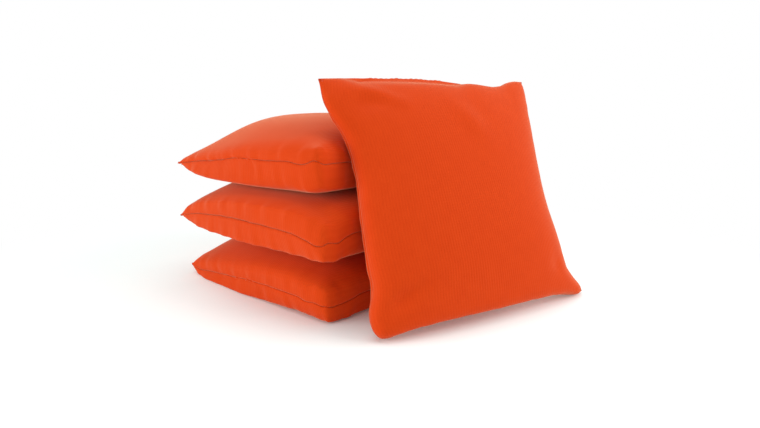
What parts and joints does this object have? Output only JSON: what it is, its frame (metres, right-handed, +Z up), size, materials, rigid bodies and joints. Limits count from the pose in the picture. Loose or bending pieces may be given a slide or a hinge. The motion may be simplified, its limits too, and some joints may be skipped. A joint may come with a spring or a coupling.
{
  "type": "toss bean bag set",
  "caption": "Square canvas toss bags, sewn on all sides and full of loose fill: a pile, and a bag that leans on it.",
  "frame": {"origin": "middle of the lowest bag's flat underside, on the floor", "axes": "+Z up; +X and +Y along the sides of the lowest bag; the leaning bag stands on the +X side"},
  "size_m": [0.2417, 0.1786, 0.1401],
  "materials": {
    "duck_canvas": "orange cotton duck, matt, plain weave",
    "polyester_thread": "orange sewing thread, slight sheen",
    "dry_fill": "loose dry grain, dull yellow"
  },
  "bodies": {
    "lower_bag": {"lower_bag_top_panel": "duck_canvas", "lower_bag_bottom_panel": "duck_canvas", "lower_bag_needle_thread": "polyester_thread", "lower_bag_bobbin_thread": "polyester_thread", "lower_bag_closing_thread": "polyester_thread", "lower_bag_fill": "dry_fill"},
    "middle_bag": {"middle_bag_top_panel": "duck_canvas", "middle_bag_bottom_panel": "duck_canvas", "middle_bag_needle_thread": "polyester_thread", "middle_bag_bobbin_thread": "polyester_thread", "middle_bag_closing_thread": "polyester_thread", "middle_bag_fill": "dry_fill"},
    "upper_bag": {"upper_bag_top_panel": "duck_canvas", "upper_bag_bottom_panel": "duck_canvas", "upper_bag_needle_thread": "polyester_thread", "upper_bag_bobbin_thread": "polyester_thread", "upper_bag_closing_thread": "polyester_thread", "upper_bag_fill": "dry_fill"},
    "leaning_bag": {"leaning_bag_front_panel": "duck_canvas", "leaning_bag_back_panel": "duck_canvas", "leaning_bag_needle_thread": "polyester_thread", "leaning_bag_bobbin_thread": "polyester_thread", "leaning_bag_closing_thread": "polyester_thread", "leaning_bag_fill": "dry_fill"}
  },
  "joints": [
    {"name": "middle_bag_lift", "type": "slide", "parent": "lower_bag", "child": "middle_bag", "axis": [-0.6117, 0.1976, 0.766], "range_m": [0, 0.25]},
    {"name": "upper_bag_lift", "type": "slide", "parent": "middle_bag", "child": "upper_bag", "axis": [-0.6117, 0.1976, 0.766], "range_m": [0, 0.25]},
    {"name": "leaning_bag_lift", "type": "slide", "parent": "lower_bag", "child": "leaning_bag", "axis": [0, 0, 1], "range_m": [0, 0.25]}
  ]
}
